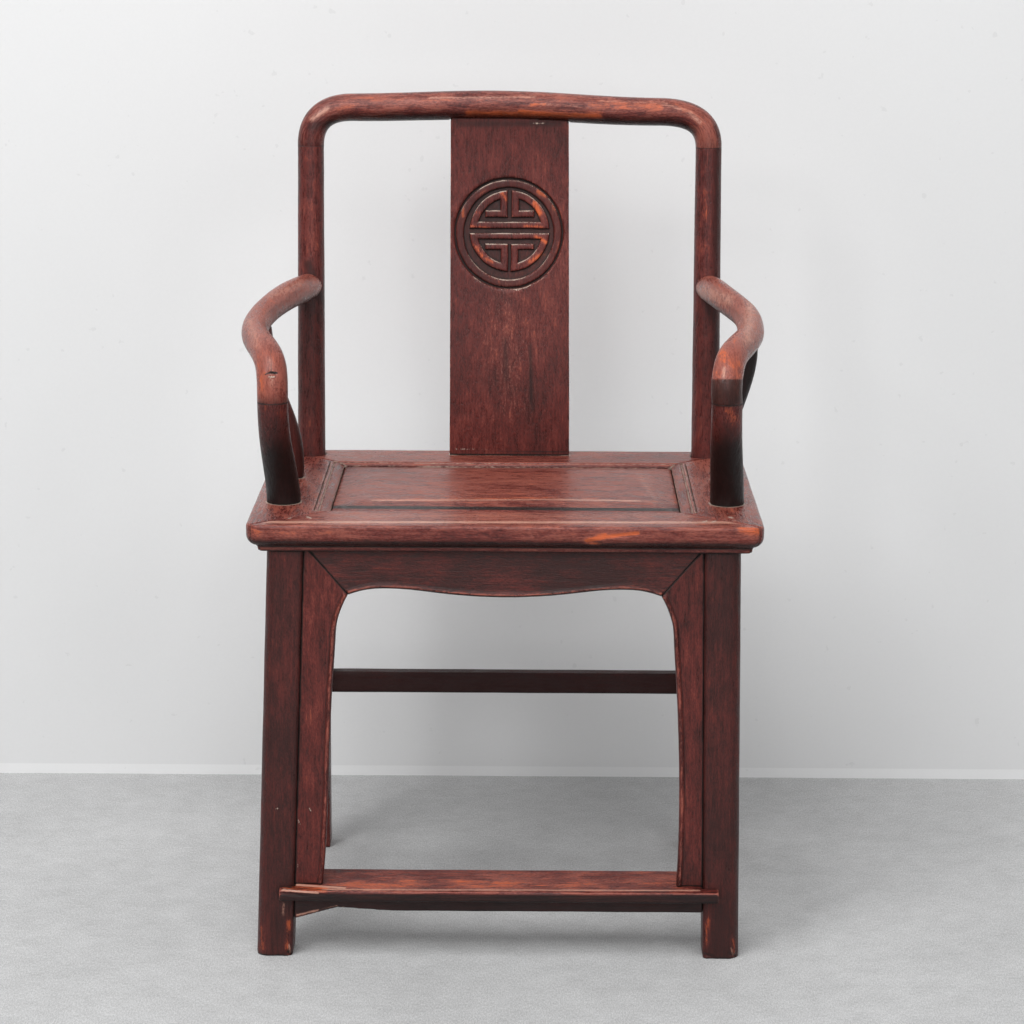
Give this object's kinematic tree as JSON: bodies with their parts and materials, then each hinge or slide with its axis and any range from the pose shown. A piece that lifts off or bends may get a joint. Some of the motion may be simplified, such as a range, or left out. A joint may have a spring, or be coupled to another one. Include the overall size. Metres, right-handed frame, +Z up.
{
  "type": "armchair",
  "caption": "Old Chinese style wooden armchair with bowed arms, round crest rail, carved back splat, panelled seat, arched front apron and footrest.",
  "frame": {"origin": "on the floor, midway between the outermost points of the whole chair in width and in depth", "axes": "+X to the right as seen from the front, +Y to the back, +Z up"},
  "size_m": [0.5992, 0.473, 0.9396],
  "materials": {
    "wood_dark": "worn dark red-brown lacquer",
    "wood_worn": "rubbed lacquer, satin",
    "wood_seat": "faded lacquer, satin"
  },
  "bodies": {
    "root": {"arm_pegs": "wood_dark", "arm_post_left": "wood_dark", "arm_post_right": "wood_dark", "armrest_left": "wood_worn", "armrest_right": "wood_worn", "back_splat": "wood_dark", "crest_pegs": "wood_dark", "crest_rail": "wood_worn", "footrest": "wood_worn", "footrest_apron": "wood_dark", "front_apron_left": "wood_dark", "front_apron_right": "wood_dark", "front_apron_top": "wood_dark", "front_leg_left": "wood_dark", "front_leg_right": "wood_dark", "rear_apron": "wood_dark", "rear_post_left": "wood_dark", "rear_post_right": "wood_dark", "rear_stretcher": "wood_dark", "seat_batten_left": "wood_dark", "seat_batten_right": "wood_dark", "seat_panel": "wood_seat", "seat_rail_front": "wood_seat", "seat_rail_left": "wood_seat", "seat_rail_rear": "wood_seat", "seat_rail_right": "wood_seat", "seat_strip_left": "wood_seat", "seat_strip_rear": "wood_seat", "seat_strip_right": "wood_seat", "seat_wedges": "wood_dark", "side_apron_left": "wood_dark", "side_apron_right": "wood_dark", "side_spindle_left": "wood_dark", "side_spindle_right": "wood_dark", "side_stretcher_left": "wood_dark", "side_stretcher_right": "wood_dark"}
  },
  "joints": []
}
